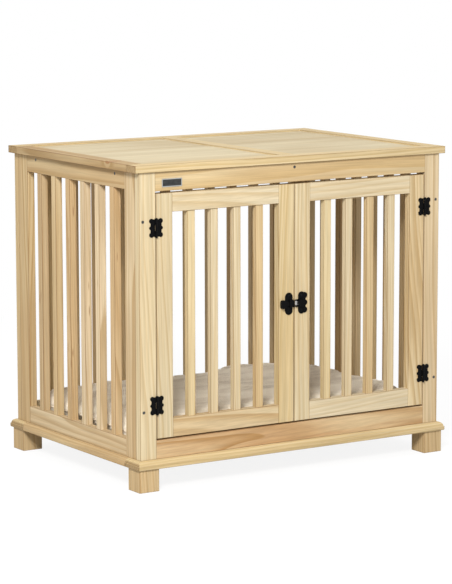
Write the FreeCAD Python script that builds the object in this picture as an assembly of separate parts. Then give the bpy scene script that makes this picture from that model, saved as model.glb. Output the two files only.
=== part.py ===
import FreeCAD, Part
import math
import os

os.makedirs("parts", exist_ok=True)

# A pine pet crate with slatted walls and two hinged doors. All lengths are in millimetres.
# X runs along the front, the doors face -Y, +Z is up and the feet stand on Z = 0.

# Overall sizes
crate_height = 700.0
body_width = 788.0
body_depth = 551.0

# Timber sections of the frames, doors and slats
frame_thickness = 18.0
post_width = 40.0
side_stile_width = 42.0
front_rail_width = 41.0
wall_rail_width = 39.0
door_stile_width = 40.0
door_rail_width = 41.0
slat_width = 19.0
wall_slat_thickness = 17.0
door_slat_thickness = 13.0
edge_ease = 0.8

# Slats in each wall and door, and the end gap as a share of the gap between two slats
side_slat_count = 6
back_slat_count = 11
door_slat_count = 4
even_end_gap_share = 1.0
back_end_gap_share = 0.8

# Joinery: stub tenons on the rails and on the slats
tenon_length = 20.0
tenon_thickness = 6.0
tenon_shoulder = 6.0
slat_tenon_length = 8.0
slat_tenon_thickness = 9.0
slat_tenon_shoulder = 2.0
joint_clearance = 0.1

# Top: a grooved rim around two thinner panels
top_thickness = 16.0
top_side_overhang = 12.0
top_front_overhang = 6.0
top_rail_width = 38.0
top_panel_thickness = 9.0
top_panel_recess = 3.0
top_panel_tongue = 8.0
top_ease = 1.2

# Cleats that hold the top from inside
cleat_size = 18.0
side_cleat_length = 420.0
front_cleat_length = 300.0

# Feet, plinth and floor
foot_height = 49.0
foot_size = 48.5
foot_inset = 5.0
foot_ease = 1.5
plinth_thickness = 19.0
plinth_side_projection = 12.5
plinth_front_projection = 14.0
plinth_board_width = 60.0
plinth_lip_height = 9.0
plinth_step = 1.5
plinth_bottom_round = 2.5
floor_thickness = 9.0
floor_clearance = 0.5
batten_width = 60.0

# Gaps around the doors
door_bottom_gap = 3.0
door_top_gap = 4.3
hinge_gap = 2.0
meeting_gap = 2.5

# Surface hinges with scalloped leaves
hinge_height = 40.0
hinge_inset = 72.7
leaf_width = 16.5
leaf_thickness = 1.4
leaf_end_step = 1.6
leaf_side_step = 3.2
lobe_radius = 5.2
middle_lobe_radius = 3.6
knuckle_radius = 2.6
knuckle_clearance = 0.3
leaf_notch_clearance = 0.4
leaf_meeting_gap = 0.6
pin_radius = 1.3
pin_clearance = 0.05
pin_head_radius = 2.1
pin_head_height = 0.8

# Small pan-head screws of the hinges and the latch
pan_head_radius = 2.1
pan_top_radius = 1.4
pan_head_height = 0.6
pan_shank_radius = 1.0
pan_shank_length = 12.0
screw_clearance = 0.05

# Countersunk screws that hold the frames, the top, the plinth and the feet
flat_head_radius = 3.4
flat_head_height = 2.4
flat_shank_radius = 1.7
recess_width = 0.9
recess_length = 4.2
recess_depth = 1.3
frame_screw_length = 45.0
frame_screw_inset = 104.0
cleat_screw_length = 30.0
cleat_screw_spacing = 350.0
foot_screw_length = 44.0
plinth_screw_length = 41.0
plinth_front_screw_spacing = 400.0
plinth_side_screw_spacing = 200.0

# Slide latch on the left door
latch_plate_width = 19.0
latch_plate_height = 49.0
latch_plate_thickness = 1.6
latch_edge_gap = 4.25
latch_lip_setback = 0.55
latch_stop_gap = 0.5
latch_wall = 3.0
latch_roof = 1.4
latch_round = 0.9
latch_screw_inset = 8.0
bolt_height = 9.5
bolt_thickness = 2.4
bolt_clearance = 0.3
bolt_travel = 15.0
bolt_tip_gap = 0.6
bolt_tip_chamfer = 1.0
thumb_width = 13.5
thumb_height = 19.0
thumb_neck_width = 7.5
thumb_rise = 2.1
thumb_plate_thickness = 1.6
thumb_round = 4.5

# Keeper and strike on the right door
keeper_width = 23.5
keeper_height = 49.0
keeper_edge_gap = 8.75
keeper_lobe_radius = 6.6
keeper_notch_depth = 4.5
keeper_dome_radius = 8.5
keeper_tip_gap = 6.1
keeper_roof_gap = 0.6
keeper_screw_inset = 8.0
strike_thickness = 0.8
strike_setback = 0.95

# Blank plate above the left door
badge_width = 50.0
badge_height = 18.0
badge_thickness = 0.8
badge_round = 2.0
badge_offset = 16.0
badge_drop = 3.5

# Floor cushion
cushion_thickness = 74.0
cushion_side_gap = 4.0
cushion_floor_gap = 0.3
cushion_edge = 40.0
cushion_corner = 62.0
cushion_draw_in = 9.0
# Outlines of the pad from the floor up: share of its thickness, inset as a share of its edge
cushion_outline_shares = [
    (0.0, 0.55), (0.1, 0.2), (0.25, 0.04), (0.45, 0.0), (0.62, 0.06),
    (0.76, 0.2), (0.86, 0.45), (0.92, 0.85), (0.965, 1.7), (1.0, 3.8)]

# One overrun serves every cut that has to pass a face
overrun = 2.0

# Places that follow from the sizes above
half_width = body_width / 2
half_depth = body_depth / 2
body_bottom = foot_height + plinth_thickness
body_top = crate_height - top_thickness
front_face = -half_depth
opening_half = half_width - post_width
inner_half_width = half_width - frame_thickness
inner_half_depth = half_depth - frame_thickness
plinth_half_width = half_width + plinth_side_projection
plinth_half_depth = half_depth + plinth_front_projection
top_half_width = half_width + top_side_overhang
top_half_depth = half_depth + top_front_overhang
door_bottom = body_bottom + front_rail_width + door_bottom_gap
door_top = body_top - front_rail_width - door_top_gap
door_middle = (door_bottom + door_top) / 2
hinge_levels = [door_bottom + hinge_inset, door_top - hinge_inset]
hinge_axis_x = opening_half - hinge_gap / 2
hinge_axis_y = front_face - knuckle_clearance - knuckle_radius

x_axis = FreeCAD.Vector(1, 0, 0)
y_axis = FreeCAD.Vector(0, 1, 0)
z_axis = FreeCAD.Vector(0, 0, 1)
origin = FreeCAD.Vector(0, 0, 0)
parallel_share = 0.99
nodes = {}


def block(x_low, x_high, y_low, y_high, z_low, z_high):
    """Square-edged block between two opposite corners."""
    corner = FreeCAD.Vector(x_low, y_low, z_low)
    return Part.makeBox(x_high - x_low, y_high - y_low, z_high - z_low, corner)


def eased(shape, axis, radius):
    """Rounds the straight edges that run along one axis."""
    chosen = []
    for edge in shape.Edges:
        if abs(edge.tangentAt(edge.FirstParameter).dot(axis)) > parallel_share:
            chosen.append(edge)
    return shape.makeFillet(radius, chosen)


def rod(radius, length, point, axis):
    """Round bar from a point along an axis."""
    return Part.makeCylinder(radius, length, point, axis)


def joined(shapes):
    """Fuses shapes into one clean solid."""
    return shapes[0].fuse(shapes[1:]).removeSplitter()


def front_block(x_low, x_high, near, far, z_low, z_high):
    """Block on the front face, between two distances out from that face."""
    return block(x_low, x_high, front_face - far, front_face - near, z_low, z_high)


def front_disc(x, z, radius, near, far):
    """Round boss on the front face, between two distances out from that face."""
    return rod(radius, far - near, FreeCAD.Vector(x, front_face - far, z), y_axis)


def tenon(edge, way, rail_bottom, rail_top, grow):
    """Stub tenon that leaves a rail's shoulder; grown, it cuts the mortise."""
    depth = (tenon_length + grow) * way
    middle = frame_thickness / 2
    half_thickness = tenon_thickness / 2 + grow
    z_low = rail_bottom + tenon_shoulder - grow
    z_high = rail_top - tenon_shoulder + grow
    x_low = min(edge, edge + depth)
    x_high = max(edge, edge + depth)
    return block(x_low, x_high, middle - half_thickness, middle + half_thickness, z_low, z_high)


def slat_centres(low, high, count, end_gap_share):
    """Evenly spaced slats between two uprights."""
    gap = (high - low - count * slat_width) / (count - 1 + 2 * end_gap_share)
    first = low + end_gap_share * gap + slat_width / 2
    return [first + index * (gap + slat_width) for index in range(count)]


def slat_bar(centre, half_slat, half_thickness, bottom, top):
    """Upright bar in the middle of a frame's thickness."""
    middle = frame_thickness / 2
    return block(centre - half_slat, centre + half_slat, middle - half_thickness, middle + half_thickness,
                 bottom, top)


def slat_core(centre, bottom, top, grow):
    """Both tenons of a slat as one bar through it; grown, it cuts their mortises."""
    reach = slat_tenon_length + grow
    half_core = slat_width / 2 - slat_tenon_shoulder + grow
    half_thickness = slat_tenon_thickness / 2 + grow
    return slat_bar(centre, half_core, half_thickness, bottom - reach, top + reach)


def slat(centre, bottom, top, thickness):
    """One slat between two rails, with a stub tenon at each end."""
    body = eased(slat_bar(centre, slat_width / 2, thickness / 2, bottom, top), z_axis, edge_ease)
    return joined([body, slat_core(centre, bottom, top, 0)])


def framed_panel(width, bottom, top, stile_width, rail_width):
    """Two stiles and two rails, outer face on Y = 0, thickness towards +Y."""
    half = width / 2
    inner = half - stile_width
    rails = {"bottom_rail": (bottom, bottom + rail_width), "top_rail": (top - rail_width, top)}
    pieces = {}
    for way, name in ((-1, "stile_a"), (1, "stile_b")):
        x_low = min(way * inner, way * half)
        x_high = max(way * inner, way * half)
        stile = eased(block(x_low, x_high, 0, frame_thickness, bottom, top), z_axis, edge_ease)
        for rail_bottom, rail_top in rails.values():
            stile = stile.cut(tenon(way * inner, way, rail_bottom, rail_top, joint_clearance))
        pieces[name] = stile
    for name, (rail_bottom, rail_top) in rails.items():
        rail = eased(block(-inner, inner, 0, frame_thickness, rail_bottom, rail_top), x_axis, edge_ease)
        tenons = [tenon(way * inner, way, rail_bottom, rail_top, 0) for way in (-1, 1)]
        pieces[name] = joined([rail] + tenons)
    return pieces


def add_slats(pieces, width, bottom, top, stile_width, rail_width, thickness, count, end_gap_share):
    """Sets a row of slats between the two rails of a framed panel."""
    inner = width / 2 - stile_width
    slat_bottom = bottom + rail_width
    slat_top = top - rail_width
    centres = slat_centres(-inner, inner, count, end_gap_share)
    mortises = [slat_core(centre, slat_bottom, slat_top, joint_clearance) for centre in centres]
    for name in ("bottom_rail", "top_rail"):
        pieces[name] = pieces[name].cut(mortises)
    slats = [slat(centre, slat_bottom, slat_top, thickness) for centre in centres]
    pieces["slats"] = Part.makeCompound(slats)


def place(pieces, angle, offset, names):
    """Turns a panel about Z, moves it to its wall and files its pieces under their names."""
    for key, name in names.items():
        shape = pieces[key]
        shape.rotate(origin, z_axis, angle)
        shape.translate(offset)
        nodes[name] = shape


def turned(shape, point, direction):
    """Copy of a shape made along +Z, set at a point and aimed along a direction."""
    copy = shape.copy()
    copy.Placement = FreeCAD.Placement(point, FreeCAD.Rotation(z_axis, direction))
    return copy


def drill(names, tool):
    """Cuts one tool out of several pieces."""
    for name in names:
        nodes[name] = nodes[name].cut(tool)


def flat_screw(length, grow):
    """Countersunk screw with its head's top on Z = 0; grown, it cuts its own hole."""
    head = Part.makeCone(flat_shank_radius + grow, flat_head_radius + grow, flat_head_height,
                         FreeCAD.Vector(0, 0, -flat_head_height), z_axis)
    shank = rod(flat_shank_radius + grow, length + grow, FreeCAD.Vector(0, 0, -length - grow), z_axis)
    return joined([head, shank])


def recessed(screw):
    """Cuts the cross recess into a screw head whose top is on Z = 0."""
    half_slot = recess_width / 2
    half_length = recess_length / 2
    first = block(-half_length, half_length, -half_slot, half_slot, -recess_depth, overrun)
    second = block(-half_slot, half_slot, -half_length, half_length, -recess_depth, overrun)
    return screw.cut([first, second])


def pan_screw(grow):
    """Pan-head screw that seats on Z = 0 with its shank below; grown, it cuts its own hole."""
    shank = rod(pan_shank_radius + grow, pan_shank_length + grow,
                FreeCAD.Vector(0, 0, -pan_shank_length - grow), z_axis)
    if grow:
        return shank
    head = Part.makeCone(pan_head_radius, pan_top_radius, pan_head_height, origin, z_axis)
    return joined([head, shank])


# Feet

foot_x = plinth_half_width - foot_inset - foot_size / 2
foot_y = plinth_half_depth - foot_inset - foot_size / 2
corner_names = {"front_left": (-1, -1), "front_right": (1, -1), "back_left": (-1, 1), "back_right": (1, 1)}
for corner, (side, end) in corner_names.items():
    half_foot = foot_size / 2
    foot = block(side * foot_x - half_foot, side * foot_x + half_foot,
                 end * foot_y - half_foot, end * foot_y + half_foot, 0, foot_height)
    nodes["foot_" + corner] = eased(foot, z_axis, foot_ease)


# Plinth: a moulded slab, routed on all four sides and parted into four boards

def plinth_profile(half):
    """Section of the moulded slab: rounded lower edge, lip, step and quarter round."""
    bottom = foot_height
    lip_top = bottom + plinth_lip_height
    rise = plinth_thickness - plinth_lip_height
    lower = plinth_bottom_round
    bend = math.sqrt(0.5)
    bottom_ends = [FreeCAD.Vector(way * (half - lower), 0, bottom) for way in (-1, 1)]
    edges = [Part.LineSegment(*bottom_ends)]
    sides = []
    for way in (1, -1):
        shoulder = half - plinth_step
        lower_mid = FreeCAD.Vector(way * (half - lower + lower * bend), 0, bottom + lower - lower * bend)
        upper_mid = FreeCAD.Vector(way * (shoulder - rise + rise * bend), 0, lip_top + rise * bend)
        start = FreeCAD.Vector(way * (half - lower), 0, bottom)
        lip_start = FreeCAD.Vector(way * half, 0, bottom + lower)
        lip_end = FreeCAD.Vector(way * half, 0, lip_top)
        step_end = FreeCAD.Vector(way * shoulder, 0, lip_top)
        top_end = FreeCAD.Vector(way * (shoulder - rise), 0, bottom + plinth_thickness)
        sides.append([Part.Arc(start, lower_mid, lip_start), Part.LineSegment(lip_start, lip_end),
                      Part.LineSegment(lip_end, step_end), Part.Arc(step_end, upper_mid, top_end)])
    top_reach = half - plinth_step - rise
    top_level = bottom + plinth_thickness
    edges += sides[0]
    top_ends = [FreeCAD.Vector(way * top_reach, 0, top_level) for way in (1, -1)]
    edges.append(Part.LineSegment(*top_ends))
    edges += list(reversed(sides[1]))
    wire = Part.Wire(Part.__sortEdges__([edge.toShape() for edge in edges]))
    return Part.Face(wire)


along_y = plinth_profile(plinth_half_width)
along_y.translate(FreeCAD.Vector(0, -plinth_half_depth, 0))
along_y = along_y.extrude(FreeCAD.Vector(0, 2 * plinth_half_depth, 0))
along_x = plinth_profile(plinth_half_depth)
along_x.rotate(origin, z_axis, 90)
along_x.translate(FreeCAD.Vector(-plinth_half_width, 0, 0))
along_x = along_x.extrude(FreeCAD.Vector(2 * plinth_half_width, 0, 0))
moulded_slab = along_y.common(along_x)

plinth_inner_x = plinth_half_width - plinth_board_width
plinth_inner_y = plinth_half_depth - plinth_board_width
plinth_cuts = {
    "plinth_front": (-plinth_half_width, plinth_half_width, -plinth_half_depth, -plinth_inner_y),
    "plinth_back": (-plinth_half_width, plinth_half_width, plinth_inner_y, plinth_half_depth),
    "plinth_left": (-plinth_half_width, -plinth_inner_x, -plinth_inner_y, plinth_inner_y),
    "plinth_right": (plinth_inner_x, plinth_half_width, -plinth_inner_y, plinth_inner_y),
}
for name, (x_low, x_high, y_low, y_high) in plinth_cuts.items():
    nodes[name] = moulded_slab.common(block(x_low, x_high, y_low, y_high, foot_height, body_bottom))


# Floor panel and the batten under it

floor_x = inner_half_width - floor_clearance
floor_y = inner_half_depth - floor_clearance
floor_top = body_bottom + floor_thickness
nodes["floor_panel"] = block(-floor_x, floor_x, -floor_y, floor_y, body_bottom, floor_top)
nodes["floor_batten"] = eased(
    block(-batten_width / 2, batten_width / 2, -plinth_inner_y, plinth_inner_y, foot_height, body_bottom),
    y_axis, edge_ease)


# Front frame, slatted walls and doors

front = framed_panel(body_width, body_bottom, body_top, post_width, front_rail_width)
place(front, 0, FreeCAD.Vector(0, front_face, 0), {
    "stile_a": "front_post_left", "stile_b": "front_post_right",
    "top_rail": "front_top_rail", "bottom_rail": "front_bottom_rail"})

side_length = 2 * inner_half_depth
left_names = {"stile_a": "left_back_stile", "stile_b": "left_front_stile"}
right_names = {"stile_a": "right_front_stile", "stile_b": "right_back_stile"}
for word, stile_names, angle, way in (("left", left_names, -90, -1), ("right", right_names, 90, 1)):
    wall = framed_panel(side_length, body_bottom, body_top, side_stile_width, wall_rail_width)
    add_slats(wall, side_length, body_bottom, body_top, side_stile_width, wall_rail_width,
              wall_slat_thickness, side_slat_count, even_end_gap_share)
    names = {key: word + "_" + key for key in ("top_rail", "bottom_rail", "slats")}
    names.update(stile_names)
    place(wall, angle, FreeCAD.Vector(way * half_width, 0, 0), names)

back = framed_panel(body_width, body_bottom, body_top, post_width, wall_rail_width)
add_slats(back, body_width, body_bottom, body_top, post_width, wall_rail_width,
          wall_slat_thickness, back_slat_count, back_end_gap_share)
place(back, 180, FreeCAD.Vector(0, half_depth, 0), {
    "stile_a": "back_stile_right", "stile_b": "back_stile_left",
    "top_rail": "back_top_rail", "bottom_rail": "back_bottom_rail", "slats": "back_slats"})

door_width = opening_half - hinge_gap - meeting_gap / 2
door_centre = meeting_gap / 2 + door_width / 2
door_uprights = {"left": ("hinge_stile", "meeting_stile"), "right": ("meeting_stile", "hinge_stile")}
for word, way in (("left", -1), ("right", 1)):
    door = framed_panel(door_width, door_bottom, door_top, door_stile_width, door_rail_width)
    add_slats(door, door_width, door_bottom, door_top, door_stile_width, door_rail_width,
              door_slat_thickness, door_slat_count, even_end_gap_share)
    first_stile, second_stile = door_uprights[word]
    names = {"stile_a": first_stile, "stile_b": second_stile}
    names.update({key: key for key in ("top_rail", "bottom_rail", "slats")})
    names = {key: word + "_door_" + value for key, value in names.items()}
    place(door, 0, FreeCAD.Vector(way * door_centre, front_face, 0), names)


# Top: front and back rails run full width, three short rails and two panels sit in their grooves

panel_top = crate_height - top_panel_recess
panel_bottom = panel_top - top_panel_thickness
top_inner_y = top_half_depth - top_rail_width
top_inner_x = top_half_width - top_rail_width
groove_reach = top_half_width - tenon_shoulder
groove_low = panel_bottom - joint_clearance
groove_high = panel_top + joint_clearance
tongue_reach = top_panel_tongue - joint_clearance
for name, end in (("top_rail_front", -1), ("top_rail_back", 1)):
    y_inner = end * top_inner_y
    rail_low, rail_high = sorted((y_inner, end * top_half_depth))
    cut_low, cut_high = sorted((y_inner, end * (top_inner_y + top_panel_tongue)))
    rail = block(-top_half_width, top_half_width, rail_low, rail_high, body_top, crate_height)
    groove = block(-groove_reach, groove_reach, cut_low, cut_high, groove_low, groove_high)
    nodes[name] = eased(rail, x_axis, top_ease).cut(groove)


def short_top_rail(x_low, x_high, grooved_edges, stub_low, stub_high):
    """Rail between the long ones, with stub tenons in their grooves and grooves of its own."""
    rail = eased(block(x_low, x_high, -top_inner_y, top_inner_y, body_top, crate_height), y_axis, edge_ease)
    stub_y = top_inner_y + tongue_reach
    stub = block(stub_low, stub_high, -stub_y, stub_y, panel_bottom, panel_top)
    rail = joined([rail, stub])
    for edge, way in grooved_edges:
        depth = edge - way * top_panel_tongue
        groove = block(min(edge, depth), max(edge, depth), -stub_y - overrun, stub_y + overrun,
                       groove_low, groove_high)
        rail = rail.cut(groove)
    return rail


stub_outer = groove_reach - joint_clearance
centre_half = top_rail_width / 2
nodes["top_rail_left"] = short_top_rail(-top_half_width, -top_inner_x, [(-top_inner_x, 1)],
                                        -stub_outer, -top_inner_x)
nodes["top_rail_right"] = short_top_rail(top_inner_x, top_half_width, [(top_inner_x, -1)],
                                         top_inner_x, stub_outer)
nodes["top_rail_center"] = short_top_rail(-centre_half, centre_half, [(-centre_half, -1), (centre_half, 1)],
                                          -centre_half, centre_half)
panel_y = top_inner_y + tongue_reach
panel_outer_x = top_inner_x + tongue_reach
panel_inner_x = centre_half - tongue_reach
nodes["top_panels"] = Part.makeCompound([
    block(-panel_outer_x, -panel_inner_x, -panel_y, panel_y, panel_bottom, panel_top),
    block(panel_inner_x, panel_outer_x, -panel_y, panel_y, panel_bottom, panel_top)])

cleat_bottom = body_top - cleat_size
cleats = []
for way in (-1, 1):
    half_cleat = side_cleat_length / 2
    x_low, x_high = sorted((way * inner_half_width, way * (inner_half_width - cleat_size)))
    cleats.append(block(x_low, x_high, -half_cleat, half_cleat, cleat_bottom, body_top))
for end in (-1, 1):
    half_cleat = front_cleat_length / 2
    y_low, y_high = sorted((end * inner_half_depth, end * (inner_half_depth - cleat_size)))
    cleats.append(block(-half_cleat, half_cleat, y_low, y_high, cleat_bottom, body_top))
nodes["top_cleats"] = Part.makeCompound(cleats)


# Countersunk screws: place, outward direction, length and the pieces that each one passes

frame_screw_x = half_width - frame_thickness / 2
cleat_level = body_top - cleat_size / 2
rail_middle_y = half_depth - frame_thickness / 2
screw_places = []
for word, side in (("left", -1), ("right", 1)):
    for level in (body_bottom + frame_screw_inset, body_top - frame_screw_inset):
        for end, post, stile in ((-1, "front_post_" + word, word + "_front_stile"),
                                 (1, "back_stile_" + word, word + "_back_stile")):
            screw_places.append((FreeCAD.Vector(side * frame_screw_x, end * half_depth, level),
                                 y_axis * end, frame_screw_length, (post, stile)))
    for end in (-1, 1):
        screw_places.append((FreeCAD.Vector(side * half_width, end * cleat_screw_spacing / 2, cleat_level),
                             x_axis * side, cleat_screw_length, (word + "_top_rail", "top_cleats")))
        under_side = FreeCAD.Vector(side * frame_screw_x, end * plinth_side_screw_spacing / 2, foot_height)
        screw_places.append((under_side, z_axis * -1, plinth_screw_length,
                             ("plinth_" + word, word + "_bottom_rail")))
for word, end in (("front", -1), ("back", 1)):
    screw_places.append((FreeCAD.Vector(0, end * half_depth, cleat_level), y_axis * end,
                         cleat_screw_length, (word + "_top_rail", "top_cleats")))
    for side in (-1, 1):
        under_end = FreeCAD.Vector(side * plinth_front_screw_spacing / 2, end * rail_middle_y, foot_height)
        screw_places.append((under_end, z_axis * -1, plinth_screw_length,
                             ("plinth_" + word, word + "_bottom_rail")))
for corner, (side, end) in corner_names.items():
    board = "plinth_front" if end < 0 else "plinth_back"
    screw_places.append((FreeCAD.Vector(side * foot_x, end * foot_y, body_bottom), z_axis,
                         foot_screw_length, (board, "foot_" + corner)))

assembly_screws = []
for point, direction, length, passed in screw_places:
    assembly_screws.append(turned(recessed(flat_screw(length, 0)), point, direction))
    drill(passed, turned(flat_screw(length, screw_clearance), point, direction))
nodes["assembly_screws"] = Part.makeCompound(assembly_screws)


# Hinges: two knuckles on each frame leaf, one between them on each door leaf

half_hinge = hinge_height / 2
knuckle_length = (hinge_height - 2 * knuckle_clearance) / 3
knuckle_step = knuckle_length + knuckle_clearance
knuckle_starts = [-half_hinge + index * knuckle_step for index in range(3)]
lobe_reach = leaf_width - lobe_radius
lobe_height = half_hinge - lobe_radius
middle_reach = leaf_width - middle_lobe_radius
leaf_back = hinge_axis_y + knuckle_clearance + knuckle_radius
leaf_front = leaf_back - leaf_thickness
leaf_screw_spots = [(lobe_reach, -lobe_height), (middle_reach, 0), (lobe_reach, lobe_height)]


def hinge_leaf(starts):
    """Leaf on the +X side of a hinge axis, centred on Z = 0, with a knuckle from each given level up."""
    def plate(x_low, x_high, z_low, z_high):
        return block(x_low, x_high, leaf_front - hinge_axis_y, leaf_back - hinge_axis_y, z_low, z_high)

    def lobe(x, z, radius):
        return rod(radius, leaf_thickness, FreeCAD.Vector(x, leaf_front - hinge_axis_y, z), y_axis)

    plate_start = knuckle_radius + leaf_notch_clearance
    half_plate = half_hinge - leaf_end_step
    shapes = [plate(plate_start, leaf_width - leaf_side_step, -half_plate, half_plate)]
    shapes += [lobe(lobe_reach, way * lobe_height, lobe_radius) for way in (-1, 1)]
    shapes.append(lobe(middle_reach, 0, middle_lobe_radius))
    for start in starts:
        shapes.append(plate(leaf_meeting_gap, plate_start, start, start + knuckle_length))
        shapes.append(rod(knuckle_radius, knuckle_length, FreeCAD.Vector(0, 0, start), z_axis))
    bore = rod(pin_radius + pin_clearance, hinge_height + 2 * overrun,
               FreeCAD.Vector(0, 0, -half_hinge - overrun), z_axis)
    leaf = joined(shapes).cut(bore)
    for x, z in leaf_screw_spots:
        leaf = leaf.cut(rod(pan_shank_radius + screw_clearance, leaf_thickness + 2 * overrun,
                            FreeCAD.Vector(x, leaf_front - hinge_axis_y - overrun, z), y_axis))
    return leaf


def hinge_pin():
    """Pin with a flat head at each end."""
    pin = rod(pin_radius, hinge_height, FreeCAD.Vector(0, 0, -half_hinge), z_axis)
    head_levels = (half_hinge, -half_hinge - pin_head_height)
    pieces = [pin]
    for level in head_levels:
        pieces.append(rod(pin_head_radius, pin_head_height, FreeCAD.Vector(0, 0, level), z_axis))
    return joined(pieces)


frame_leaf = hinge_leaf(knuckle_starts[::2])
door_leaf = hinge_leaf(knuckle_starts[1::2])
frame_leaves = []
pins = []
frame_hinge_screws = []
door_leaves = {"left": [], "right": []}
door_screws = {"left": [], "right": []}
for word, side in (("left", -1), ("right", 1)):
    for level in hinge_levels:
        spot = FreeCAD.Vector(side * hinge_axis_x, hinge_axis_y, level)
        pins.append(hinge_pin().translated(spot))
        for leaf, way in ((frame_leaf, side), (door_leaf, -side)):
            turned_leaf = leaf if way > 0 else leaf.mirror(origin, x_axis)
            on_frame = way == side
            shelf = frame_leaves if on_frame else door_leaves[word]
            shelf.append(turned_leaf.translated(spot))
            timber = "front_post_" + word if on_frame else word + "_door_hinge_stile"
            for x, z in leaf_screw_spots:
                seat = FreeCAD.Vector(spot.x + way * x, leaf_front, level + z)
                screws = frame_hinge_screws if on_frame else door_screws[word]
                screws.append(turned(pan_screw(0), seat, y_axis * -1))
                drill([timber], turned(pan_screw(screw_clearance), seat, y_axis * -1))
nodes["frame_hinge_leaves"] = Part.makeCompound(frame_leaves)
nodes["hinge_pins"] = Part.makeCompound(pins)
nodes["frame_hinge_screws"] = Part.makeCompound(frame_hinge_screws)
for word in ("left", "right"):
    nodes[word + "_door_hinge_leaves"] = Part.makeCompound(door_leaves[word])


# Slide latch: plate with a bridge, bolt with a thumb piece, keeper with a pocket, strike

half_bolt = bolt_height / 2
channel_half = half_bolt + bolt_clearance
bridge_half = channel_half + latch_wall
bolt_near = latch_plate_thickness + bolt_clearance
bolt_far = bolt_near + bolt_thickness
channel_far = bolt_far + bolt_clearance
bridge_far = channel_far + latch_roof
door_edge = meeting_gap / 2


def latch_block(x_low, x_high, near, far, half):
    """Block on the front face, evenly above and below the latch's level."""
    return front_block(x_low, x_high, near, far, door_middle - half, door_middle + half)


def latch_lips(x_low, x_high):
    """Pair of thin bars that guide the bolt between its plate and the door's edge."""
    lips = []
    for way in (-1, 1):
        z_low, z_high = sorted((door_middle + way * channel_half, door_middle + way * bridge_half))
        lips.append(front_block(x_low, x_high, 0, channel_far, z_low, z_high))
    return lips


def fixed_by(plate, spots, word, timber):
    """Screws a plate to a door's front and drills both."""
    for x, z in spots:
        seat = FreeCAD.Vector(x, front_face - latch_plate_thickness, z)
        door_screws[word].append(turned(pan_screw(0), seat, y_axis * -1))
        tool = turned(pan_screw(screw_clearance), seat, y_axis * -1)
        drill([timber], tool)
        plate = plate.cut(tool)
    return plate


plate_right = -door_edge - latch_edge_gap
plate_left = plate_right - latch_plate_width
plate_middle = (plate_left + plate_right) / 2
end_radius = latch_plate_width / 2
end_rise = latch_plate_height / 2 - end_radius
latch_base = [latch_block(plate_left, plate_right, 0, latch_plate_thickness, end_rise)]
latch_base += [front_disc(plate_middle, door_middle + way * end_rise, end_radius, 0, latch_plate_thickness)
               for way in (-1, 1)]
thumb_left = plate_left - thumb_width
neck_right = thumb_left + thumb_neck_width
bridge_left = neck_right + bolt_travel + latch_stop_gap
bridge = eased(latch_block(bridge_left, plate_right, 0, bridge_far, bridge_half), x_axis, latch_round)
channel_near = latch_plate_thickness
channel = latch_block(plate_left - overrun, plate_right + overrun, channel_near, channel_far, channel_half)
lip_edge = door_edge + latch_lip_setback
latch_plate = joined(latch_base + [bridge] + latch_lips(plate_right, -lip_edge)).cut(channel)
latch_screw_rise = latch_plate_height / 2 - latch_screw_inset
latch_spots = [(plate_middle, door_middle + way * latch_screw_rise) for way in (-1, 1)]
nodes["latch_plate"] = fixed_by(latch_plate, latch_spots, "left", "left_door_meeting_stile")

thumb_near = bolt_far + thumb_rise
thumb_far = thumb_near + thumb_plate_thickness
half_thumb = thumb_height / 2
bar = latch_block(thumb_left, -bolt_tip_gap, bolt_near, bolt_far, half_bolt)
tip_edges = [edge for edge in bar.Edges
             if edge.CenterOfMass.x > -bolt_tip_gap - bolt_tip_chamfer / 2
             and abs(edge.tangentAt(edge.FirstParameter).dot(z_axis)) > parallel_share]
bar = bar.makeChamfer(bolt_tip_chamfer, tip_edges)
thumb_body = latch_block(thumb_left, plate_left, bolt_near, thumb_far, half_thumb)
thumb_body = eased(thumb_body, y_axis, thumb_round)
under_thumb = latch_block(neck_right, plate_left + overrun, bolt_near - overrun, thumb_near,
                          half_thumb + overrun)
nodes["latch_bolt"] = joined([thumb_body.cut(under_thumb), bar])

keeper_left = door_edge + keeper_edge_gap
keeper_right = keeper_left + keeper_width
pocket_end = bolt_travel - bolt_tip_gap + keeper_tip_gap
pocket_far = bolt_far + keeper_roof_gap
keeper_far = pocket_far + latch_roof
dome_rise = keeper_height / 2 - keeper_dome_radius
dome_x = keeper_left + keeper_dome_radius
lobe_x = keeper_right - keeper_lobe_radius
keeper_rounds = [(dome_x, way, keeper_dome_radius) for way in (-1, 1)]
keeper_rounds += [(lobe_x, way, keeper_lobe_radius) for way in (-1, 0, 1)]
notch_x = keeper_right - keeper_notch_depth
keeper_base = [latch_block(keeper_left, notch_x, 0, latch_plate_thickness, dome_rise)]
for x, way, radius in keeper_rounds:
    keeper_base.append(front_disc(x, door_middle + way * dome_rise, radius, 0, latch_plate_thickness))
pocket_block = latch_block(keeper_left, pocket_end + latch_wall, 0, keeper_far, bridge_half)
pocket_block = eased(pocket_block, x_axis, latch_round)
pocket = latch_block(keeper_left - overrun, pocket_end, 0, pocket_far, channel_half)
keeper = joined(keeper_base + [pocket_block] + latch_lips(lip_edge, keeper_left)).cut(pocket)
keeper_screw_rise = keeper_height / 2 - keeper_screw_inset
keeper_spots = [(dome_x, door_middle + way * keeper_screw_rise) for way in (-1, 1)]
nodes["latch_keeper"] = fixed_by(keeper, keeper_spots, "right", "right_door_meeting_stile")
strike_start = door_edge + strike_setback
strike_end = pocket_end - bolt_clearance
nodes["latch_strike"] = latch_block(strike_start, strike_end, 0, strike_thickness, half_bolt)
for word in ("left", "right"):
    nodes[word + "_door_screws"] = Part.makeCompound(door_screws[word])


# Blank plate above the left door

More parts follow.
